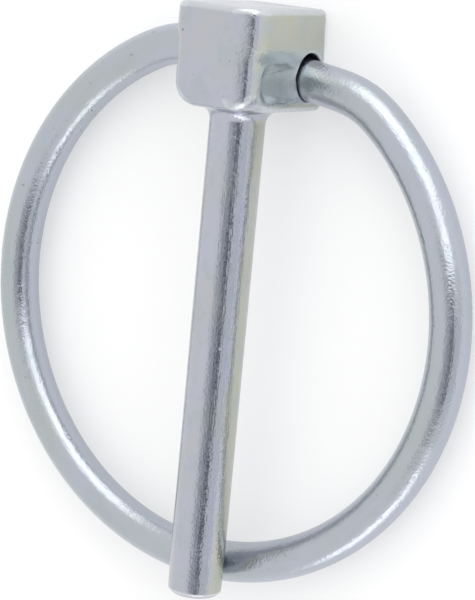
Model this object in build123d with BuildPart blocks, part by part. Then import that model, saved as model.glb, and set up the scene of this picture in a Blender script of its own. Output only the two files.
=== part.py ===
from math import acos, cos, degrees, radians, sin, tan
import os

from build123d import *

# Lynch pin, all sizes in millimetres: a forged pin with a block head, and a sprung ring
# whose two ends sit in one cross hole through the head.
# It lies on its back: X runs across the head, Y runs up the shaft to the head, Z is up,
# towards the pin's front. "Back" in a name below means the distance behind the shaft's axis.

# Shaft
shaft_dia = 4.5
shaft_length = 40.4  # from the head's underside to the tip
tip_length = 4.6  # the narrowed stretch, which the closed ring crosses
tip_dia = 4.3
tip_dome = 0.25
tip_round = 0.55
neck_round = 0.6
neck_root = 1.0  # how far the shaft's root runs into the head

# Head
head_height = 8.2
head_front = 4.5  # from the shaft's axis to the front face
front_width = 8.1
back_width = 7.6
front_edge_round = 1.3
back_edge_round = 0.5
top_edge_round = 0.5
bottom_edge_round = 0.4

# The head's lower half is forged narrower, below a sloping shoulder on each side
waist_inset = 0.28
shoulder_rise = 1.3  # from the cross hole's centre up to the shoulder's foot
shoulder_height = 0.75

# Coined pocket in each side, in front of the cross hole
pocket_length = 6.8  # from the cross hole's centre to the pocket's front end
pocket_rise = 1.0  # from the cross hole's centre to the pocket's upper edge
pocket_rim = 0.85  # left standing between the pocket and the head's underside
pocket_depth = 0.5
pocket_round = 0.9
pocket_draft = 30.0

# Ring and its cross hole
wire_dia = 3.38
ring_radius = 21.9  # of the wire's centre line
ring_flat = 1.95  # how much nearer to the ring's centre its straight ends lie
knee_radius = 6.5  # of the wire's centre line
ends_gap = 1.4  # between the wire's two ends, inside the head
wire_end_chamfer = 0.3
hinge_height = 3.1  # above the head's underside, at the middle of the head
hinge_slant = 7.9  # degrees: the hole is drilled aslant, its +X end nearer the shaft
ring_gap = 0.1  # between the closed ring and the back of the shaft
hole_clearance = 0.3  # all round the wire
hole_lift = 0.25  # the wire sits that much below the middle of its hole
hole_wall = 0.2  # between the hole and the head's back face

# Derived sizes
shaft_radius = shaft_dia / 2
wire_radius = wire_dia / 2
ring_drop = ring_radius - ring_flat
hinge_back = shaft_radius + ring_gap + wire_radius
hole_radius = wire_radius + hole_clearance
head_back = hinge_back + hole_radius + hole_wall
head_depth = head_front + head_back
slant = radians(hinge_slant)

# Places: the origin is under the middle of the whole thing, on the surface it lies on
ring_offset = ring_drop * sin(slant)
ring_reach = ring_drop * cos(slant) + ring_radius + wire_radius - hinge_height
shaft_x = ring_offset
shaft_z = head_back
underside_y = (max(ring_reach, shaft_length) - head_height) / 2

shaft_foot = Vector(shaft_x, underside_y, shaft_z)
hinge_point = shaft_foot + Vector(0, hinge_height, -hinge_back)
hinge_axis = Vector(cos(slant), -sin(slant), 0)
side_run = Vector((back_width - front_width) / 2, 0, -head_depth)


def width_at(back):
    """The head's full width, that far behind the shaft's axis."""
    return front_width + (back_width - front_width) * (head_front + back) / head_depth


def side_plane(side):
    """A plane on one side face of the head: local X runs along the face, local Y up the head.

    Its origin is level with the cross hole's mouth. Side is 1 for +X and -1 for -X.
    """
    half = width_at(hinge_back) / 2
    mouth = hinge_point + Vector(side * half, hole_lift - side * half * tan(slant), 0)
    run = Vector(side * side_run.X, 0, side_run.Z)
    outward = Vector(side * head_depth, 0, side_run.X)
    return Plane(origin=mouth, x_dir=run * side, z_dir=outward)


def mouth_height(side):
    """The height of the cross hole's mouth above the head's underside."""
    return side_plane(side).origin.Y - underside_y


# Pin: block head, drawn as seen along the shaft, then waisted and rounded
head_plan = Plane(origin=shaft_foot, x_dir=(1, 0, 0), z_dir=(0, 1, 0))
with BuildPart() as pin:
    with BuildSketch(head_plan):
        with BuildLine():
            Polyline(
                (-front_width / 2, -head_front),
                (front_width / 2, -head_front),
                (back_width / 2, head_back),
                (-back_width / 2, head_back),
                close=True,
            )
        make_face()
    extrude(amount=head_height)

    for side in (1, -1):
        face_plane = side_plane(side)
        # The cut's outline stands square to the side face, and runs along it past both ends
        cut_plane = Plane(origin=face_plane.origin, x_dir=face_plane.z_dir, z_dir=-side * face_plane.x_dir)
        foot = shoulder_rise * side
        brow = (shoulder_rise + shoulder_height) * side
        below = -(mouth_height(side) + 1) * side
        with BuildSketch(cut_plane):
            with BuildLine():
                Polyline(
                    (0, brow),
                    (-waist_inset, foot),
                    (-waist_inset, below),
                    (waist_inset, below),
                    (waist_inset, brow),
                    close=True,
                )
            make_face()
        extrude(amount=2 * head_depth, both=True, mode=Mode.SUBTRACT)

    upright = pin.edges().filter_by(lambda edge: abs((edge % 0.5).Y) > 0.5)
    front_edges = upright.filter_by(lambda edge: (edge @ 0.5).Z > shaft_z)
    back_edges = upright.filter_by(lambda edge: (edge @ 0.5).Z < shaft_z)
    fillet(front_edges, front_edge_round)
    fillet(back_edges, back_edge_round)
    fillet(pin.faces().sort_by(Axis.Y)[-1].edges(), top_edge_round)
    fillet(pin.faces().sort_by(Axis.Y)[0].edges(), bottom_edge_round)

    # Shaft: its outline turned about its axis, with the neck's fillet and the narrowed tip
    tip_rim = (tip_dia / 2, tip_dome - shaft_length)
    with BuildSketch(Plane(origin=shaft_foot, x_dir=(1, 0, 0), z_dir=(0, 0, 1))) as shaft_outline:
        with BuildLine():
            neck = RadiusArc(
                (shaft_radius + neck_round, 0), (shaft_radius, -neck_round), neck_round
            )
            Polyline(
                neck @ 1,
                (shaft_radius, tip_length - shaft_length),
                tip_rim,
                (0, -shaft_length),
                (0, neck_root),
                (shaft_radius + neck_round, neck_root),
                neck @ 0,
            )
        make_face()
        fillet(shaft_outline.vertices().sort_by_distance(tip_rim)[0], tip_round)
    revolve(axis=Axis(shaft_foot, (0, 1, 0)))

    # Pockets and cross hole, which also cut into the shaft's root
    for side in (1, -1):
        floor = pocket_rim - mouth_height(side)
        with BuildSketch(side_plane(side).offset(-waist_inset)):
            with Locations((-side * pocket_length / 2, (pocket_rise + floor) / 2)):
                RectangleRounded(pocket_length, pocket_rise - floor, pocket_round)
        extrude(amount=-pocket_depth, taper=pocket_draft, mode=Mode.SUBTRACT)

    hole_middle = hinge_point + Vector(0, hole_lift, 0)
    with BuildSketch(Plane(origin=hole_middle, x_dir=(0, 0, 1), z_dir=hinge_axis)):
        Circle(hole_radius)
    extrude(amount=back_width, both=True, mode=Mode.SUBTRACT)

# Ring: from one wire end, out of the hole, round the knee, once round, and back the same way
knee_turn = acos((ring_drop - knee_radius) / (ring_radius - knee_radius))
knee_start = (ring_radius - knee_radius) * sin(knee_turn)
knee_angle = degrees(knee_turn)
ring_plane = Plane(origin=hinge_point, x_dir=hinge_axis, z_dir=(0, 0, 1))
with BuildPart() as ring:
    with BuildLine(ring_plane) as wire:
        Line((ends_gap / 2, 0), (knee_start, 0))
        CenterArc((knee_start, -knee_radius), knee_radius, 90, -knee_angle)
        CenterArc((0, -ring_drop), ring_radius, 90 - knee_angle, -(360 - 2 * knee_angle))
        CenterArc((-knee_start, -knee_radius), knee_radius, 90 + knee_angle, -knee_angle)
        Line((-knee_start, 0), (-ends_gap / 2, 0))
    with BuildSketch(Plane(origin=wire.wire() @ 0, z_dir=wire.wire() % 0)):
        Circle(wire_radius)
    sweep(path=wire.wire())
    chamfer(ring.faces().filter_by(GeomType.PLANE).edges(), wire_end_chamfer)

pin.part.label = "pin"
ring.part.label = "ring"
os.makedirs("parts", exist_ok=True)
export_step(pin.part, "parts/pin.step")
export_step(ring.part, "parts/ring.step")
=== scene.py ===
"""Looks of the lynch pin: a forged pin with a die-struck block head, and its sprung wire ring.

Both are bright zinc plated. The part lies closed on its back, as it would come to rest.
"""
import logging
import math
from dataclasses import dataclass
from enum import Enum

import bpy
import numpy as np
from mathutils import Matrix, Vector


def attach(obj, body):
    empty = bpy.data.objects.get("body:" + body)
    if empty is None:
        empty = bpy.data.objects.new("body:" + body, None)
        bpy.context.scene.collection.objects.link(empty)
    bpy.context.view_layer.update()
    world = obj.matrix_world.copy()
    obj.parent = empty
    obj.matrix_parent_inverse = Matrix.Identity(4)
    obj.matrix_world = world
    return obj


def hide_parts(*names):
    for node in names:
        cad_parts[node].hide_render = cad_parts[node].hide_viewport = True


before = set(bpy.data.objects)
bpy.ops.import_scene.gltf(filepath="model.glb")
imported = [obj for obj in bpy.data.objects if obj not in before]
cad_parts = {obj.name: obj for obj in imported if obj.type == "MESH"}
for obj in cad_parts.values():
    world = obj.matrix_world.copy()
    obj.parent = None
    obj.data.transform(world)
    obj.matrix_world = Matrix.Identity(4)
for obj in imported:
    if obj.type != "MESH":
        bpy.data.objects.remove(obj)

log = logging.getLogger("lynch_pin")

MM = 0.001
TINY = 1e-6
WHITE = (1.0, 1.0, 1.0, 1.0)


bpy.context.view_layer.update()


# ---------------------------------------------------------------- helpers for shapes


def smooth_step(low: float, high: float, value: np.ndarray) -> np.ndarray:
    """Rises from 0 at low to 1 at high with level ends: 3t^2 - 2t^3, with t cut to 0..1.

    Args:
        low: Where it leaves 0. It may be above high, and then it falls.
        high: Where it reaches 1.
        value: The array it is worked out for.

    Returns:
        An array of the same shape.
    """
    t = np.clip((value - low) / (high - low), 0.0, 1.0)
    return t * t * (3.0 - 2.0 * t)


def meet(first: np.ndarray, second: np.ndarray, radius: float | np.ndarray) -> np.ndarray:
    """What lies inside both, with their edge rounded.

    Within the radius of the edge the distance is that to an arc: the root of the sum of the two
    squared distances, each measured from the arc's centre and cut off below zero.

    Args:
        first: Distances to one surface, negative inside it.
        second: Distances to the other.
        radius: The edge's radius, one for all or one for each point.

    Returns:
        Distances to the rounded shape.
    """
    arc = np.hypot(np.maximum(first + radius, 0.0), np.maximum(second + radius, 0.0))
    return np.minimum(np.maximum(first, second), -radius) + arc


def join(first: np.ndarray, second: np.ndarray, radius: float | np.ndarray) -> np.ndarray:
    """What lies inside either, with a hollow fillet of that radius where they meet."""
    return -meet(-first, -second, radius)


def cut(solid: np.ndarray, tool: np.ndarray, radius: float | np.ndarray) -> np.ndarray:
    """The solid less the tool, with the edge that the tool leaves rounded to that radius."""
    return meet(solid, -tool, radius)


def make_object(name: str, points: np.ndarray, faces: list) -> bpy.types.Object:
    """A smooth mesh object at the origin.

    Args:
        name: The piece's name.
        points: Vertices in metres, one row each.
        faces: Vertex numbers of each face.

    Returns:
        The new object, linked to the scene.
    """
    mesh = bpy.data.meshes.new(name)
    mesh.from_pydata(points.tolist(), [], faces)
    mesh.polygons.foreach_set("use_smooth", np.ones(len(mesh.polygons), dtype=bool))
    mesh.validate()
    mesh.update()
    piece = bpy.data.objects.new(name, mesh)
    bpy.context.scene.collection.objects.link(piece)
    return piece


def store(piece: bpy.types.Object, name: str, values: np.ndarray) -> None:
    """Keeps one number or one vector for each vertex as a named attribute.

    Args:
        piece: The mesh object.
        name: The attribute's name, which the material reads.
        values: One row for each vertex.
    """
    vector = values.ndim == 2
    kind = "FLOAT_VECTOR" if vector else "FLOAT"
    attribute = piece.data.attributes.new(name, kind, "POINT")
    key = "vector" if vector else "value"
    attribute.data.foreach_set(key, np.ascontiguousarray(values, dtype=np.float32).ravel())


# ---------------------------------------------------------------- helpers for finishes


def linear(colour: str) -> tuple[float, float, float, float]:
    """An sRGB hex colour as the linear values that a socket takes.

    Args:
        colour: Six hex digits after a #.

    Returns:
        Red, green and blue from 0 to 1, and full alpha.
    """
    parts = [int(colour[i : i + 2], 16) / 255.0 for i in (1, 3, 5)]
    curve = [c / 12.92 if c <= 0.04045 else ((c + 0.055) / 1.055) ** 2.4 for c in parts]
    return curve[0], curve[1], curve[2], 1.0


def per_metre(size: float) -> float:
    """A texture's scale on coordinates in metres, for a feature of that size in millimetres."""
    return 1.0 / (size * MM)


def add(
    tree: bpy.types.NodeTree,
    kind: str,
    settings: dict | None = None,
    inputs: dict | None = None,
) -> bpy.types.Node:
    """Adds one node.

    Args:
        tree: The node tree.
        kind: The node's type.
        settings: The node's own properties.
        inputs: A value, another node's socket, or a node whose first output is meant, for
            each input, by name or number.

    Returns:
        The new node.
    """
    node = tree.nodes.new(kind)
    for key, value in (settings or {}).items():
        setattr(node, key, value)
    for key, value in (inputs or {}).items():
        socket = node.inputs[key]
        if isinstance(value, bpy.types.Node):
            value = value.outputs[0]
        if isinstance(value, bpy.types.NodeSocket):
            tree.links.new(value, socket)
        else:
            socket.default_value = value
    return node


# ---------------------------------------------------------------- finishes

MATH, RANGE, MIX = "ShaderNodeMath", "ShaderNodeMapRange", "ShaderNodeMix"
ADD = {"operation": "ADD"}
MULTIPLY = {"operation": "MULTIPLY"}
MULTIPLY_ADD = {"operation": "MULTIPLY_ADD"}
LARGER = {"operation": "MAXIMUM"}
SMOOTH = {"interpolation_type": "SMOOTHSTEP"}
COLOURS = {"data_type": "RGBA"}
# The mix node's colour sockets go by number, because its other kinds share their names
MIX_FIRST, MIX_SECOND, MIX_RESULT = 6, 7, 2

Marks = dict[str, bpy.types.NodeSocket]


class Layout(Enum):
    """What a finish's pattern follows."""

    FORGING = "forging"
    WIRE = "wire"


@dataclass(frozen=True)
class ZincPlate:
    """Bright zinc plate with a clear blue passivate, tumbled in a barrel.

    It gives a soft mirror that is a little frosted. It is lilac, with greenish grey clouds where
    the passivate is thinner, small dull knocks from the barrel and fine lines along the drawn bar
    and wire under it. It also
    carries painted light: a greener painted reflection on faces turned aside and on the wire's
    top, a lighter teal painted light in the head's pocket, and painted highlights on outward
    edges that are also worn lighter by rubbing. Sizes are in millimetres.

    The real lines and grain are a few hundredths of a millimetre wide, too fine to show, so
    they are drawn as coarse as the render needs. A pair of numbers says where a pattern or a
    turn of the surface starts to tell, and where it tells in full.
    """

    name: str
    layout: Layout
    lilac: str = "#B9BBC6"
    green: str = "#BABCAE"
    teal: str = "#ADB6BA"
    # Painted light: the lighter teal tint of the head's pocket
    pocket_painted_light: str = "#BBC5C8"
    # Edges: real wear by rubbing, with painted highlights on the pocket's lip and the tip's
    # chamfer
    rub_and_highlight: str = "#D6D9DC"
    knock: str = "#7B7D83"
    roughness: float = 0.2
    roughness_swing: tuple[float, float] = (-0.03, 0.04)
    recess_roughness: float = 0.34
    edge_roughness: float = 0.27
    dull_roughness: float = 0.2
    cloud_size: float = 3.2
    patch_size: float = 1.44
    grain_size: float = 0.2
    grain_height: float = 0.028
    wave_size: float = 1.5
    wave_height: float = 0.05
    line_width: float = 0.14
    line_length: float = 2.2
    line_height: float = 0.016
    knock_spacing: float = 1.5
    knock_reach: float = 0.16
    knock_core: float = 0.072
    knock_raggedness: float = 0.12
    knock_height: float = 0.03
    knock_choice: tuple[float, float] = (0.66, 0.72)
    knock_darkness: float = 0.75
    speck_grain: tuple[float, float] = (0.66, 0.74)
    speck_patch: tuple[float, float] = (0.5, 0.62)
    speck_darkness: float = 0.5
    # These pick the faces turned aside and the wire's top, which get the greener painted
    # reflection
    right_turn: tuple[float, float] = (0.86, 1.0)
    left_turn: tuple[float, float] = (-0.35, -0.8)
    left_share: float = 0.6
    top_turn: tuple[float, float] = (0.2, 0.9)
    top_share: float = 0.45
    green_cloud: tuple[float, float] = (0.34, 0.68)
    green_swing: tuple[float, float] = (-0.15, 0.45)
    full_green: float = 1.2
    green_share: float = 0.9
    teal_patch: tuple[float, float] = (0.48, 0.7)
    teal_share: float = 0.45
    pocket_painted_light_share: float = 0.85
    rub_and_highlight_share: float = 0.8
    shine_cloud: tuple[float, float] = (0.3, 0.7)

    def make(self) -> bpy.types.Material:
        """Builds the material.

        Returns:
            The material, with its colour, roughness and bump from nodes.
        """
        material = bpy.data.materials.new(self.name)
        material.use_nodes = True
        tree = material.node_tree
        tree.nodes.clear()
        marks = self.marks(tree)
        inputs = {
            "Base Color": self.colour(tree, marks),
            "Metallic": 1.0,
            "Roughness": self.shine(tree, marks),
            "Normal": self.relief(tree, marks),
        }
        surface = add(tree, "ShaderNodeBsdfPrincipled", {}, inputs)
        add(tree, "ShaderNodeOutputMaterial", {}, {"Surface": surface})
        return material

    def marks(self, tree: bpy.types.NodeTree) -> Marks:
        """Adds the patterns that the colour, the shine and the relief share.

        Args:
            tree: The material's node tree.

        Returns:
            A socket for each pattern, by its name.
        """
        texture = add(tree, "ShaderNodeTexCoord")
        marks = {"normal": texture.outputs["Normal"]}
        along = self.line_width / self.line_length
        if self.layout is Layout.FORGING:
            place = texture.outputs["Object"]
            stretch, drift = (1.0, along, 1.0), (1.0, 0.7, 1.0)
        else:
            wire = add(tree, "ShaderNodeAttribute", {"attribute_name": "wire_place"})
            place = wire.outputs["Vector"]
            stretch, drift = (1.0, 1.0, along), (1.0, 1.0, 0.3)
        drawn = add(tree, "ShaderNodeMapping", {}, {"Vector": place, "Scale": stretch})
        drifting = add(tree, "ShaderNodeMapping", {}, {"Vector": place, "Scale": drift})
        for name, vector, size, detail in (
            ("lines", drawn, self.line_width, 1.5),
            ("cloud", drifting, self.cloud_size, 3.0),
            ("patch", drifting, self.patch_size, 2.0),
            ("grain", place, self.grain_size, 2.0),
            ("wave", place, self.wave_size, 1.5),
        ):
            inputs = {"Vector": vector, "Scale": per_metre(size), "Detail": detail}
            marks[name] = add(tree, "ShaderNodeTexNoise", {}, inputs).outputs["Fac"]
        for name in ("edge", "recess", "bar"):
            mark = add(tree, "ShaderNodeAttribute", {"attribute_name": name})
            marks[name] = mark.outputs["Fac"]

        # A knock is the middle of a cell, in one cell of three, with a ragged rim
        inputs = {"Vector": place, "Scale": per_metre(self.knock_spacing)}
        cells = add(tree, "ShaderNodeTexVoronoi", {}, inputs)
        chosen = add(tree, "ShaderNodeSeparateColor", {}, {"Color": cells.outputs["Color"]})
        low, high = self.knock_choice
        chosen = add(tree, RANGE, SMOOTH, {"Value": chosen, "From Min": low, "From Max": high})
        inputs = {0: marks["grain"], 1: self.knock_raggedness, 2: cells.outputs["Distance"]}
        ragged = add(tree, MATH, MULTIPLY_ADD, inputs)
        inputs = {"Value": ragged, "From Min": self.knock_reach, "From Max": self.knock_core}
        dent = add(tree, RANGE, SMOOTH, inputs)
        marks["knock"] = add(tree, MATH, MULTIPLY, {0: dent, 1: chosen}).outputs[0]

        # Specks are where the grain is highest, in patches
        low, high = self.speck_grain
        inputs = {"Value": marks["grain"], "From Min": low, "From Max": high}
        fine = add(tree, RANGE, SMOOTH, inputs)
        low, high = self.speck_patch
        inputs = {"Value": marks["patch"], "From Min": low, "From Max": high}
        where = add(tree, RANGE, SMOOTH, inputs)
        speck = add(tree, MATH, MULTIPLY, {0: fine, 1: where})
        speck = add(tree, MATH, MULTIPLY, {0: speck, 1: self.speck_darkness})
        inputs = {0: marks["knock"], 1: self.knock_darkness, 2: speck}
        marks["dull"] = add(tree, MATH, MULTIPLY_ADD, inputs).outputs[0]
        return marks

    def colour(self, tree: bpy.types.NodeTree, marks: Marks) -> bpy.types.NodeSocket:
        """Lilac plate with greenish clouds and cool patches, a greener painted reflection where
        it is turned aside, painted light in the pocket, edges lightened by wear and by painted
        highlights, and dull knocks.

        Args:
            tree: The material's node tree.
            marks: The shared patterns.

        Returns:
            The colour's socket.
        """
        # Painted reflection: faces turned aside, and the wire's top, are tinted greener by their
        # facing alone, standing in for the tinted surroundings they mirror. The greener clouds
        # are real tone, where the passivate is thinner.
        facing = add(tree, "ShaderNodeSeparateXYZ", {}, {"Vector": marks["normal"]})
        if self.layout is Layout.FORGING:
            across = facing.outputs["X"]
            low, high = self.right_turn
            right = add(tree, RANGE, SMOOTH, {"Value": across, "From Min": low, "From Max": high})
            low, high = self.left_turn
            inputs = {"Value": across, "From Min": low, "From Max": high}
            left = add(tree, RANGE, SMOOTH, {**inputs, "To Max": self.left_share})
            turned = add(tree, MATH, ADD, {0: right, 1: left})
        else:
            low, high = self.top_turn
            inputs = {"Value": facing.outputs["Z"], "From Min": low, "From Max": high}
            turned = add(tree, RANGE, SMOOTH, {**inputs, "To Max": self.top_share})
        low, high = self.green_cloud
        inputs = {"Value": marks["cloud"], "From Min": low, "From Max": high}
        low, high = self.green_swing
        uneven = add(tree, RANGE, SMOOTH, {**inputs, "To Min": low, "To Max": high})
        turned = add(tree, MATH, ADD, {0: turned, 1: uneven})
        # The green share: painted reflection by facing, plus random clouds of real tone
        inputs = {"Value": turned, "From Max": self.full_green, "To Max": self.green_share}
        green_reflection_and_tone = add(tree, RANGE, SMOOTH, inputs)
        low, high = self.teal_patch
        inputs = {"Value": marks["patch"], "From Min": low, "From Max": high}
        cool = add(tree, RANGE, SMOOTH, {**inputs, "To Max": self.teal_share})
        # Painted light: the pocket is tinted lighter and teal, standing in for the bright
        # surroundings it mirrors
        pocket_painted_light = add(tree, MATH, MULTIPLY, {0: marks["recess"], 1: self.pocket_painted_light_share})
        # Edges are lighter from real wear by rubbing and from painted highlights
        rubbed_and_highlit = add(tree, MATH, MULTIPLY, {0: marks["edge"], 1: self.rub_and_highlight_share})
        dull = add(tree, RANGE, SMOOTH, {"Value": marks["dull"]})
        tint = linear(self.lilac)
        for share, over in (
            (green_reflection_and_tone, self.green),
            (cool, self.teal),
            (pocket_painted_light, self.pocket_painted_light),
            (rubbed_and_highlit, self.rub_and_highlight),
            (dull, self.knock),
        ):
            inputs = {0: share, MIX_FIRST: tint, MIX_SECOND: linear(over)}
            tint = add(tree, MIX, COLOURS, inputs).outputs[MIX_RESULT]
        return tint

    def shine(self, tree: bpy.types.NodeTree, marks: Marks) -> bpy.types.NodeSocket:
        """The roughness: cloudy, and higher in recesses, on edges worn by rubbing and in knocks.

        Args:
            tree: The material's node tree.
            marks: The shared patterns.

        Returns:
            The roughness's socket.
        """
        low, high = self.shine_cloud
        inputs = {"Value": marks["cloud"], "From Min": low, "From Max": high}
        low, high = (self.roughness + swing for swing in self.roughness_swing)
        rough = add(tree, RANGE, SMOOTH, {**inputs, "To Min": low, "To Max": high})
        for name, more in (
            ("dull", self.dull_roughness),
            ("recess", self.recess_roughness - self.roughness),
            ("edge", self.edge_roughness - self.roughness),
        ):
            rough = add(tree, MATH, MULTIPLY_ADD, {0: marks[name], 1: more, 2: rough})
        return rough.outputs[0]

    def relief(self, tree: bpy.types.NodeTree, marks: Marks) -> bpy.types.NodeSocket:
        """Slow waves, drawn lines, knocks and grain, each raised over the one before.

        Args:
            tree: The material's node tree.
            marks: The shared patterns.

        Returns:
            The normal's socket.
        """
        lines = add(tree, MATH, MULTIPLY, {0: marks["lines"], 1: marks["bar"]})
        sunk = add(tree, MATH, MULTIPLY, {0: marks["knock"], 1: -1.0})
        under = None
        for height, size in (
            (marks["wave"], self.wave_height),
            (lines, self.line_height),
            (sunk, self.knock_height),
            (marks["grain"], self.grain_height),
        ):
            inputs = {"Height": height, "Distance": size * MM}
            if under is not None:
                inputs["Normal"] = under
            under = add(tree, "ShaderNodeBump", {}, inputs)
        return under.outputs["Normal"]


# ---------------------------------------------------------------- the forged pin


@dataclass
class ForgedPin:
    """The pin: head, neck, shaft and tip are one forging, so they are one closed mesh.

    Sizes are in millimetres. Heights are measured up the shaft from the head's underside, and
    depths back from the shaft's axis, so the head's front is at a negative depth. Left and
    right are as seen from the pin's front. A pair of numbers says where a form or a mark
    starts to come in, and where it is in full.
    """

    axis_x: float = 2.742
    underside: float = 16.1
    axis_z: float = 6.23

    shaft_radius: float = 2.25
    shaft_length: float = 40.4
    tip_length: float = 4.6
    tip_radius: float = 2.2
    tip_chamfer: float = 0.36
    tip_round: float = 0.05
    neck_round: float = 1.15
    neck_root: float = 1.0

    head_height: float = 8.2
    head_front: float = 4.5
    head_back: float = 6.23
    front_width: float = 8.1
    back_width: float = 7.6
    back_edge_round: float = 0.5
    top_edge_round: float = 0.5
    bottom_edge_round: float = 0.5
    front_corner_round: float = 1.0
    right_edge_round: float = 0.9
    left_edge_round: float = 1.35
    edge_flat: float = 0.62
    edge_flat_angle: float = 40.0
    no_flat: float = -1.0
    right_corner_cut: float = 0.75
    left_corner_cut: float = 1.0
    back_corner_cut: float = -0.4
    corner_cut_round: float = 0.6
    back_lean: float = 0.3

    waist_inset: float = 0.24
    shoulder_rise: float = 0.9
    shoulder_height: float = 1.35
    waist_fade: tuple[float, float] = (2.3, 0.2)

    pocket_length: float = 6.6
    pocket_rise: float = 0.9
    pocket_rim: float = 0.85
    pocket_depth: float = 0.5
    pocket_round: float = 0.9
    pocket_draft: float = 42.0
    pocket_fade: tuple[float, float] = (2.3, -2.0)
    pocket_floor_round: float = 0.2
    lip_round: float = 0.3
    lip_round_at_hole: float = 0.04
    lip_fade: tuple[float, float] = (2.2, 0.6)

    hole_height: float = 3.31
    hole_depth: float = 4.04
    hole_radius: float = 1.9
    hole_slant: float = 7.9
    hole_edge: float = 0.18

    voxel: float = 0.118
    settle_rounds: tuple[int, ...] = (3, 3, 6)
    settle_share: float = 0.5
    settle_steps: int = 2
    settle_limit: float = 0.25
    flattest_slope: float = 0.5
    normal_step: float = 0.01

    edge_reach: float = 0.15
    edge_bend: tuple[float, float] = (0.9, 2.6)
    recess_reach: float = 1.2
    recess_top: tuple[float, float] = (0.4, -0.5)
    recess_foot: tuple[float, float] = (-0.3, 0.1)
    recess_front: tuple[float, float] = (1.3, 1.8)
    bar_fade: tuple[float, float] = (0.3, -1.5)

    def local(self, points: np.ndarray) -> tuple[np.ndarray, np.ndarray, np.ndarray]:
        """Splits points into across, height and depth, measured from the shaft's foot.

        Args:
            points: Points in millimetres, one row each.

        Returns:
            Three arrays, with one value for each point.
        """
        across = points[:, 0] - self.axis_x
        height = points[:, 1] - self.underside
        depth = self.axis_z - points[:, 2]
        return across, height, depth

    def half_width(self, depth: np.ndarray | float) -> np.ndarray | float:
        """Half the head's width, which grows evenly from its front to its back."""
        share = (self.head_front + depth) / (self.head_front + self.head_back)
        return (self.front_width + (self.back_width - self.front_width) * share) / 2

    def mouth(self, side: np.ndarray) -> np.ndarray:
        """The height of the cross hole's mouth on each side: the hole's slope times the reach."""
        reach = self.half_width(self.hole_depth)
        return self.hole_height - side * reach * math.tan(math.radians(self.hole_slant))

    def distance(self, points: np.ndarray) -> np.ndarray:
        """The distance to the forging's surface, negative inside it.

        The head is where six faces meet, each pair with its rounded edge, and its side faces
        step in below a shoulder. The shaft is a rounded cylinder, joined to the head by a
        hollow fillet. A tapered pocket in each side and the slanted cross hole are cut from it.

        Args:
            points: Points in millimetres, one row each.

        Returns:
            One distance for each point.
        """
        across, height, depth = self.local(points)
        side = np.where(across >= 0.0, 1.0, -1.0)
        mouth = self.mouth(side)
        rise = height - mouth

        foot, brow = self.shoulder_rise, self.shoulder_rise + self.shoulder_height
        fade = smooth_step(*self.waist_fade, depth)
        inset = self.waist_inset * smooth_step(brow, foot, rise) * fade
        flank = np.abs(across) - self.half_width(depth) + inset
        front = -self.head_front - depth
        back = depth - self.head_back
        back += self.back_lean * smooth_step(foot, self.head_height - self.hole_height, rise)
        angle = math.radians(self.edge_flat_angle)
        flat = flank * math.sin(angle) + front * math.cos(angle)
        flat += np.where(side > 0, self.edge_flat, self.no_flat)
        edge_round = np.where(side > 0, self.right_edge_round, self.left_edge_round)
        head = meet(meet(flank, flat, self.right_edge_round), front, edge_round)
        head = meet(head, back, self.back_edge_round)
        head = meet(head, height - self.head_height, self.top_edge_round)
        forward = smooth_step(0.0, -self.head_front, depth)
        extra_round = self.front_corner_round - self.bottom_edge_round
        head = meet(head, -height, self.bottom_edge_round + extra_round * forward)
        corner = (flank - height) * math.sqrt(0.5)
        corner += np.where(side > 0, self.right_corner_cut, self.left_corner_cut) * forward
        corner += self.back_corner_cut * (1.0 - forward)
        head = meet(head, corner, self.corner_cut_round)

        radius = np.hypot(across, depth)
        taper = (self.shaft_radius - self.tip_radius) / self.tip_length
        into_tip = np.maximum(self.tip_length - self.shaft_length - height, 0.0)
        wall = radius - self.shaft_radius + taper * into_tip
        end = -self.shaft_length - height
        bevel = (wall + end + self.tip_chamfer) * math.sqrt(0.5)
        shaft = meet(meet(wall, bevel, self.tip_round), end, self.tip_round)
        shaft = np.maximum(shaft, height - self.neck_root)
        pin = join(head, shaft, self.neck_round)

        pocket_mid = (self.pocket_rise + self.pocket_rim - mouth) / 2
        half_height = (self.pocket_rise - self.pocket_rim + mouth) / 2
        half_length = self.pocket_length / 2
        sunk = self.half_width(depth) - self.waist_inset * fade - np.abs(across)
        shrink = np.clip(sunk, 0.0, None) * math.tan(math.radians(self.pocket_draft))
        from_end = np.abs(depth - self.hole_depth + half_length) - half_length
        from_edge = np.abs(rise - pocket_mid) - half_height
        outline = meet(from_end + shrink, from_edge + shrink, self.pocket_round)
        floor = self.pocket_depth * smooth_step(*self.pocket_fade, depth)
        pocket = meet(outline, sunk - floor, self.pocket_floor_round)
        lip = self.lip_round_at_hole
        lip += (self.lip_round - lip) * smooth_step(*self.lip_fade, depth)
        pin = cut(pin, pocket, lip)

        slant = math.radians(self.hole_slant)
        above = (height - self.hole_height + across * math.tan(slant)) * math.cos(slant)
        hole = np.hypot(above, depth - self.hole_depth) - self.hole_radius
        return cut(pin, hole, self.hole_edge)

    def slope(self, points: np.ndarray, step: float = 0.02) -> np.ndarray:
        """The distance's slope at each point, by differences over a small step each way.

        Args:
            points: Points in millimetres, one row each.
            step: How far each way, in millimetres.

        Returns:
            One vector for each point.
        """
        columns = []
        for axis in range(3):
            shift = np.zeros(3)
            shift[axis] = step
            columns.append(self.distance(points + shift) - self.distance(points - shift))
        return np.stack(columns, axis=1) / (2 * step)

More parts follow.
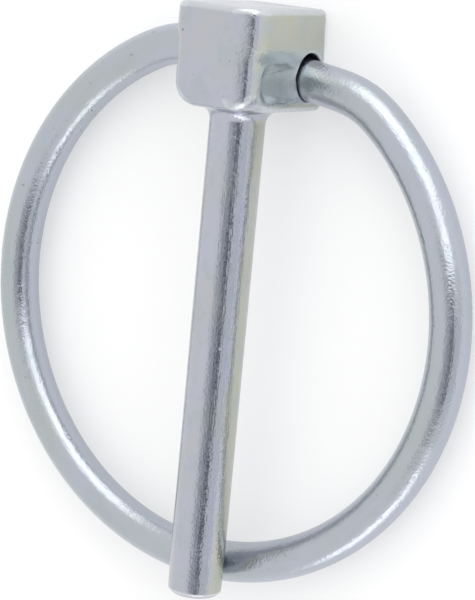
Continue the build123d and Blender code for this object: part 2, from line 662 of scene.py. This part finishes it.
    def settle(self, points: np.ndarray, edges: np.ndarray, rounds: int) -> np.ndarray:
        """Draws the points onto the forging's surface and spreads them evenly over it.

        Each round moves a point towards the mean of its neighbours, along the surface only,
        and then down the distance's slope until the distance is nil.

        Args:
            points: Points in millimetres, near the surface.
            edges: Pairs of neighbouring points.
            rounds: How many times this is done.

        Returns:
            The settled points.
        """
        count = np.bincount(edges.ravel(), minlength=len(points)).astype(float)
        for _ in range(rounds):
            total = np.zeros_like(points)
            for near, far in ((0, 1), (1, 0)):
                for axis in range(3):
                    ends = points[edges[:, far], axis]
                    total[:, axis] += np.bincount(edges[:, near], ends, minlength=len(points))
            pull = total / count[:, None] - points
            slope = self.slope(points)
            normal = slope / np.maximum(np.linalg.norm(slope, axis=1, keepdims=True), TINY)
            pull -= (pull * normal).sum(axis=1, keepdims=True) * normal
            points = points + self.settle_share * pull
            for _ in range(self.settle_steps):
                slope = self.slope(points)
                square = (slope * slope).sum(axis=1, keepdims=True)
                square = np.maximum(square, self.flattest_slope**2)
                move = self.distance(points)[:, None] * slope / square
                points = points - np.clip(move, -self.settle_limit, self.settle_limit)
        return points

    def remeshed(self, mesh: bpy.types.Mesh) -> bpy.types.Mesh:
        """The same shape in even faces, with its doubled points merged first.

        Args:
            mesh: The mesh to start from. It goes once it has been read.

        Returns:
            A new mesh.
        """
        piece = bpy.data.objects.new("even_faces", mesh)
        bpy.context.scene.collection.objects.link(piece)
        piece.modifiers.new("weld", "WELD").merge_threshold = 0.001 * MM
        remesh = piece.modifiers.new("even_faces", "REMESH")
        remesh.mode = "VOXEL"
        remesh.voxel_size = self.voxel * MM
        graph = bpy.context.evaluated_depsgraph_get()
        even = bpy.data.meshes.new_from_object(piece.evaluated_get(graph), depsgraph=graph)
        bpy.data.objects.remove(piece)
        bpy.data.meshes.remove(mesh)
        return even

    def build(self) -> bpy.types.Object:
        """Makes the pin's mesh.

        It starts as a copy of the plain solid in even faces, which then settle on the
        forging's surface. That is done a few times, because the faces round the hole's rim
        and the pocket's edge stretch the first time. The normals are the distance's own.

        Returns:
            The pin's object.
        """
        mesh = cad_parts["pin"].data.copy()
        for rounds in self.settle_rounds:
            mesh = self.remeshed(mesh)
            points = np.empty(len(mesh.vertices) * 3)
            mesh.vertices.foreach_get("co", points)
            edges = np.empty(len(mesh.edges) * 2, dtype=np.int64)
            mesh.edges.foreach_get("vertices", edges)
            points = self.settle(points.reshape(-1, 3) / MM, edges.reshape(-1, 2), rounds)
            mesh.vertices.foreach_set("co", (points * MM).ravel())
            mesh.update()
        mesh.polygons.foreach_set("use_smooth", np.ones(len(mesh.polygons), dtype=bool))
        mesh.name = "forged_pin"
        mesh.materials.clear()
        slope = self.slope(points, self.normal_step)
        normals = slope / np.maximum(np.linalg.norm(slope, axis=1, keepdims=True), TINY)
        mesh.normals_split_custom_set_from_vertices(normals.tolist())
        piece = bpy.data.objects.new("forged_pin", mesh)
        bpy.context.scene.collection.objects.link(piece)
        self.mark(piece, points)
        return piece

    def mark(self, piece: bpy.types.Object, points: np.ndarray) -> None:
        """Keeps what the finish reads: edges, worn by rubbing and given painted highlights;
        recesses, with rougher plate and painted light; and the drawn bar.

        An edge is where the surface bends outwards. How sharply it bends is the mean of the
        distances a little way off on all sides, less the distance at the point, over the
        square of that way.

        Args:
            piece: The pin's object.
            points: Its vertices in millimetres.
        """
        around = -6.0 * self.distance(points)
        for axis in range(3):
            shift = np.zeros(3)
            shift[axis] = self.edge_reach
            around += self.distance(points + shift) + self.distance(points - shift)
        bend = around / self.edge_reach**2
        across, height, depth = self.local(points)
        rise = height - self.mouth(np.where(across >= 0.0, 1.0, -1.0))
        flank = np.abs(across) > self.half_width(depth) - self.recess_reach
        brow = self.shoulder_rise + self.shoulder_height
        low, high = self.recess_top
        band = smooth_step(brow + low, brow + high, rise)
        low, high = self.recess_foot
        over = smooth_step(self.pocket_rim + low, self.pocket_rim + high, height)
        low, high = self.recess_front
        behind = smooth_step(low - self.head_front, high - self.head_front, depth)
        # The edge mask makes edges rougher and lighter: real wear by rubbing, and painted
        # highlights
        store(piece, "edge", smooth_step(*self.edge_bend, bend))
        # The recess mask makes the plate rougher there and carries the pocket's painted light
        store(piece, "recess", flank * band * over * behind)
        store(piece, "bar", smooth_step(*self.bar_fade, height))

    def dress(self, piece: bpy.types.Object) -> None:
        """Gives the pin its finish and puts it on its body, in place of the plain solid.

        Args:
            piece: The pin's object.
        """
        piece.data.materials.append(ZincPlate("zinc_plated_forging", Layout.FORGING).make())
        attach(piece, "pin")
        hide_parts("pin")


# ---------------------------------------------------------------- the sprung ring


@dataclass
class SprungRing:
    """The ring: one length of spring wire, with a knee and a straight end each side.

    Sizes are in millimetres. Its line lies in one plane, level with the floor.
    """

    hinge: tuple[float, float, float] = (2.742, 19.2, 2.19)
    hole_slant: float = 7.9
    wire_radius: float = 1.69
    ring_radius: float = 21.9
    ring_flat: float = 1.95
    knee_radius: float = 6.5
    ends_gap: float = 1.4
    end_chamfer: float = 0.3
    end_step: float = 0.02
    knee_spread: float = 1.2
    samples: int = 24001
    stations: int = 620
    around: int = 56

    def line(self) -> tuple[np.ndarray, np.ndarray, np.ndarray]:
        """The wire's centre line from one end to the other, in the ring's own plane.

        The wire's bend is nil in its straight end, one over the knee's radius in the knee and
        one over the ring's radius from there on, with the steps softened as in bent wire. The
        direction is the bend added up along the wire, and the place is the direction added up.

        Returns:
            The places, the directions as angles, and the lengths run, at even steps.
        """
        drop = self.ring_radius - self.ring_flat
        turn = math.acos((drop - self.knee_radius) / (self.ring_radius - self.knee_radius))
        straight = (self.ring_radius - self.knee_radius) * math.sin(turn) - self.ends_gap / 2
        knee = straight + self.knee_radius * turn
        half = knee + self.ring_radius * (math.pi - turn)
        run = np.linspace(0.0, 2 * half, self.samples)
        step = run[1]
        near = np.minimum(run, 2 * half - run)
        bend = np.where(near < straight, 0.0, 1 / self.knee_radius)
        bend = np.where(near > knee, 1 / self.ring_radius, bend)
        reach = int(4 * self.knee_spread / step)
        bell = np.exp(-0.5 * (np.arange(-reach, reach + 1) * step / self.knee_spread) ** 2)
        bend = np.convolve(np.pad(bend, reach, mode="edge"), bell / bell.sum(), mode="valid")
        heading = -np.concatenate([[0.0], np.cumsum((bend[1:] + bend[:-1]) / 2 * step)])
        heading -= (heading[-1] + 2 * math.pi) / 2
        ahead_x, ahead_y = np.cos(heading), np.sin(heading)
        x = np.concatenate([[0.0], np.cumsum((ahead_x[1:] + ahead_x[:-1]) / 2 * step)])
        y = np.concatenate([[0.0], np.cumsum((ahead_y[1:] + ahead_y[:-1]) / 2 * step)])
        x -= (x[0] + x[-1]) / 2
        y -= (y[0] + y[-1]) / 2
        pick = np.linspace(0.0, 2 * half, self.stations)
        places = np.stack([np.interp(pick, run, x), np.interp(pick, run, y)], axis=1)
        return places, np.interp(pick, run, heading), pick

    def build(self) -> bpy.types.Object:
        """Makes the ring's mesh: a circle carried along the wire's line, with closed ends.

        A point is the line's place plus the wire's radius times the cosine of its angle along
        the line's normal, and times the sine of it along the plane's. At each end the radius
        falls by the chamfer over the chamfer's length, and the end face closes on one point.

        Returns:
            The ring's object.
        """
        places, heading, run = self.line()
        chamfer = self.end_chamfer
        total = run[-1]
        first_end = [0.0, self.end_step, chamfer]
        last_end = [total - chamfer, total - self.end_step, total]
        run_out = np.concatenate([first_end, run[2:-2], last_end])
        heading = np.interp(run_out, run, heading)
        places = np.stack([np.interp(run_out, run, places[:, i]) for i in (0, 1)], axis=1)
        near = np.minimum(run_out, total - run_out)
        radius = self.wire_radius - np.maximum(chamfer - near, 0.0)
        angle = np.linspace(0.0, 2 * math.pi, self.around, endpoint=False)
        normal = np.stack([-np.sin(heading), np.cos(heading)], axis=1)
        aside = radius[:, None, None] * np.cos(angle)[None, :, None]
        flat = places[:, None, :] + aside * normal[:, None, :]
        lift = radius[:, None] * np.sin(angle)[None, :]
        ends = np.array([places[0], places[-1]])
        grid = np.concatenate([flat, lift[:, :, None]], axis=2).reshape(-1, 3)
        poles = np.concatenate([ends, np.zeros((2, 1))], axis=1)
        points = np.concatenate([grid, poles])

        slant = math.radians(self.hole_slant)
        along = np.array([math.cos(slant), -math.sin(slant), 0.0])
        up = np.array([math.sin(slant), math.cos(slant), 0.0])
        off_floor = np.array([0.0, 0.0, 1.0])
        placed = np.array(self.hinge) + points[:, :1] * along
        placed = placed + points[:, 1:2] * up + points[:, 2:3] * off_floor
        rows, columns = len(run_out), self.around
        index = np.arange(rows * columns).reshape(rows, columns)
        right = np.roll(index, -1, axis=1)
        quads = np.stack([index[:-1], index[1:], right[1:], right[:-1]], axis=2).reshape(-1, 4)
        first, last = rows * columns, rows * columns + 1
        fan_a = np.stack([index[0], right[0], np.full(columns, first)], axis=1)
        fan_b = np.stack([right[-1], index[-1], np.full(columns, last)], axis=1)
        faces = quads.tolist() + fan_a.tolist() + fan_b.tolist()
        piece = make_object("sprung_ring", placed * MM, faces)

        # The pattern's place is the point's place on the wire as if it were straight
        breadth = (radius[:, None] * np.cos(angle)).ravel()
        straightened = np.stack([breadth, lift.ravel(), np.repeat(run_out, columns)], axis=1)
        ends_straight = np.array([[0.0, 0.0, 0.0], [0.0, 0.0, total]])
        store(piece, "wire_place", np.concatenate([straightened, ends_straight]) * MM)
        store(piece, "edge", np.zeros(len(placed)))
        store(piece, "recess", np.zeros(len(placed)))
        store(piece, "bar", np.ones(len(placed)))
        return piece

    def dress(self, piece: bpy.types.Object) -> None:
        """Gives the ring its finish and puts it on its body, in place of the plain solid.

        Args:
            piece: The ring's object.
        """
        # The wire's greener top is painted reflection, over random clouds of real tone
        finish = ZincPlate(
            "zinc_plated_wire",
            Layout.WIRE,
            lilac="#B6BAC6",
            green="#B1B9B6",
            roughness=0.24,
            line_height=0.008,
        )
        piece.data.materials.append(finish.make())
        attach(piece, "ring")
        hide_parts("ring")


# ---------------------------------------------------------------- the studio


@dataclass(frozen=True)
class Opening:
    """A dimmer or brighter patch of the tent, by its bearing round the shaft and its lean.

    Bearings are in degrees and leans are sines. The patch fades over its soft widths.
    """

    bearing: float
    half: float
    soft: float
    lean: float
    lean_half: float
    lean_soft: float
    colour: str


@dataclass(frozen=True)
class Lamp:
    """A soft rectangular lamp. Sizes and its distance are in millimetres."""

    name: str
    bearing: float
    lean: float
    distance: float
    width: float
    height: float
    watts: float


@dataclass
class Studio:
    """A white floor, soft lights and the camera at the photograph's angle.

    Sizes are in millimetres, and the camera's roll is in radians. The camera looks from in
    front of the pin, above and to its side.
    """

    camera_place: tuple[float, float, float] = (109.74, 34.72, 160.62)
    camera_aim: tuple[float, float, float] = (4.343, 0.699, 6.23)
    camera_roll: float = 0.093
    camera_lens: float = 141.5
    floor_size: float = 1400.0
    floor_glow: float = 0.4
    paper: str = "#CDCDCD"
    paper_roughness: float = 0.9
    openings: tuple[Opening, ...] = (
        Opening(30.0, 15.0, 18.0, -0.2, 0.2, 0.15, "#B6B9BE"),
        Opening(42.0, 4.5, 6.5, -0.15, 0.25, 0.15, "#636B7D"),
        Opening(88.0, 18.0, 14.0, -0.2, 0.3, 0.2, "#E4E7EE"),
    )
    lamps: tuple[Lamp, ...] = (
        Lamp("top_lamp", 35.0, 0.84, 500.0, 600.0, 400.0, 0.95),
        Lamp("strip_lamp", 48.0, 0.31, 600.0, 60.0, 430.0, 0.22),
        Lamp("low_lamp", 60.0, -0.92, 500.0, 360.0, 160.0, 0.25),
    )
    lamp_aim: tuple[float, float, float] = (2.7, 0.0, 6.2)

    def build_camera(self) -> None:
        """Places the camera: it looks at its aim, with the pin's length nearly upright."""
        place = Vector(self.camera_place)
        forward = (Vector(self.camera_aim) - place).normalized()
        right = forward.cross(Vector((0.0, 1.0, 0.0))).normalized()
        above = right.cross(forward)
        turn, lean = math.cos(self.camera_roll), math.sin(self.camera_roll)
        right, above = turn * right + lean * above, turn * above - lean * right
        rotation = Matrix((right, above, -forward)).transposed()
        data = bpy.data.cameras.new("photo_camera")
        data.sensor_fit = "VERTICAL"
        data.sensor_height = 36.0
        data.lens = self.camera_lens
        data.clip_start = 0.01
        data.clip_end = 10.0
        camera = bpy.data.objects.new("photo_camera", data)
        camera.matrix_world = Matrix.Translation(place * MM) @ rotation.to_4x4()
        bpy.context.scene.collection.objects.link(camera)
        bpy.context.scene.camera = camera

    def build_floor(self) -> None:
        """A plain white floor at the height the part lies on.

        It glows a little towards the camera and in what mirrors it, which lightens the
        object's shadow but keeps it.
        """
        half = self.floor_size / 2 * MM
        corners = half * np.array([[-1, -1, 0], [1, -1, 0], [1, 1, 0], [-1, 1, 0]])
        floor = make_object("floor", corners, [[0, 1, 2, 3]])
        material = bpy.data.materials.new("white_paper")
        material.use_nodes = True
        tree = material.node_tree
        tree.nodes.clear()
        inputs = {"Base Color": linear(self.paper), "Roughness": self.paper_roughness}
        inputs["Specular IOR Level"] = 0.0
        paper = add(tree, "ShaderNodeBsdfPrincipled", {}, inputs)
        path = add(tree, "ShaderNodeLightPath")
        inputs = {0: path.outputs["Is Camera Ray"], 1: path.outputs["Is Glossy Ray"]}
        seen = add(tree, MATH, LARGER, inputs)
        seen = add(tree, MATH, LARGER, {0: seen, 1: path.outputs["Is Transmission Ray"]})
        strength = add(tree, MATH, MULTIPLY, {0: seen, 1: self.floor_glow})
        glow = add(tree, "ShaderNodeEmission", {}, {"Strength": strength})
        both = add(tree, "ShaderNodeAddShader", {}, {0: paper, 1: glow})
        add(tree, "ShaderNodeOutputMaterial", {}, {"Surface": both})
        floor.data.materials.append(material)

    def band(
        self,
        tree: bpy.types.NodeTree,
        value: bpy.types.NodeSocket,
        middle: float,
        half: float,
        soft: float,
    ) -> bpy.types.NodeSocket:
        """Adds a band: 1 within half of the middle, falling smoothly to 0 over the next soft.

        Args:
            tree: The node tree.
            value: What is measured.
            middle: The band's middle.
            half: Half its width.
            soft: How far its edge fades.

        Returns:
            The band's socket.
        """
        away = add(tree, MATH, {"operation": "SUBTRACT"}, {0: value, 1: middle})
        away = add(tree, MATH, {"operation": "ABSOLUTE"}, {0: away})
        inputs = {"Value": away, "From Min": half, "From Max": half + soft}
        fade = add(tree, RANGE, SMOOTH, {**inputs, "To Min": 1.0, "To Max": 0.0})
        return fade.outputs["Result"]

    def build_world(self) -> None:
        """A soft white tent, dimmer where it opens for the camera.

        A direction is told by its bearing round the shaft, nil straight up and growing towards
        the head's right side, and by its lean towards the head, which is the sine of an angle.
        """
        world = bpy.data.worlds.new("white_tent")
        world.use_nodes = True
        tree = world.node_tree
        tree.nodes.clear()
        direction = add(tree, "ShaderNodeTexCoord").outputs["Generated"]
        parts = add(tree, "ShaderNodeSeparateXYZ", {}, {"Vector": direction})
        inputs = {0: parts.outputs["X"], 1: parts.outputs["Z"]}
        bearing = add(tree, MATH, {"operation": "ARCTAN2"}, inputs).outputs[0]
        lean = parts.outputs["Y"]
        sky_colour = WHITE
        for opening in self.openings:
            sizes = (opening.bearing, opening.half, opening.soft)
            across = self.band(tree, bearing, *(math.radians(size) for size in sizes))
            along = self.band(tree, lean, opening.lean, opening.lean_half, opening.lean_soft)
            patch = add(tree, MATH, MULTIPLY, {0: across, 1: along})
            inputs = {0: patch, MIX_FIRST: sky_colour, MIX_SECOND: linear(opening.colour)}
            mixed = add(tree, MIX, {**COLOURS, "blend_type": "MULTIPLY"}, inputs)
            sky_colour = mixed.outputs[MIX_RESULT]
        path = add(tree, "ShaderNodeLightPath")
        inputs = {0: path.outputs["Is Camera Ray"], MIX_FIRST: sky_colour, MIX_SECOND: WHITE}
        seen = add(tree, MIX, COLOURS, inputs).outputs[MIX_RESULT]
        sky = add(tree, "ShaderNodeBackground", {}, {"Color": seen, "Strength": 1.0})
        add(tree, "ShaderNodeOutputWorld", {}, {"Surface": sky})
        bpy.context.scene.world = world

    def build_lamps(self) -> None:
        """Soft rectangular lamps, each aimed at the part."""
        for lamp in self.lamps:
            data = bpy.data.lights.new(lamp.name, "AREA")
            data.shape = "RECTANGLE"
            data.size, data.size_y = lamp.width * MM, lamp.height * MM
            data.energy = lamp.watts
            light = bpy.data.objects.new(lamp.name, data)
            light.visible_camera = False
            bearing, level = math.radians(lamp.bearing), math.cos(math.asin(lamp.lean))
            out = Vector((math.sin(bearing) * level, lamp.lean, math.cos(bearing) * level))
            place = Vector(self.lamp_aim) + out * lamp.distance
            turn = out.to_track_quat("Z", "Y").to_matrix().to_4x4()
            light.matrix_world = Matrix.Translation(place * MM) @ turn
            bpy.context.scene.collection.objects.link(light)

    def build(self) -> None:
        """Builds the camera, the floor and the light."""
        self.build_camera()
        self.build_floor()
        self.build_world()
        self.build_lamps()
        bpy.context.scene.view_settings.view_transform = "Standard"


def main() -> None:
    """Builds the studio and both pieces, and reports each."""
    logging.basicConfig(level=logging.INFO, format="%(name)s: %(message)s")
    Studio().build()
    for maker in (ForgedPin(), SprungRing()):
        piece = maker.build()
        maker.dress(piece)
        mesh = piece.data
        log.info("%s: %d vertices, %d faces", piece.name, len(mesh.vertices), len(mesh.polygons))


if __name__ == "__main__":
    main()
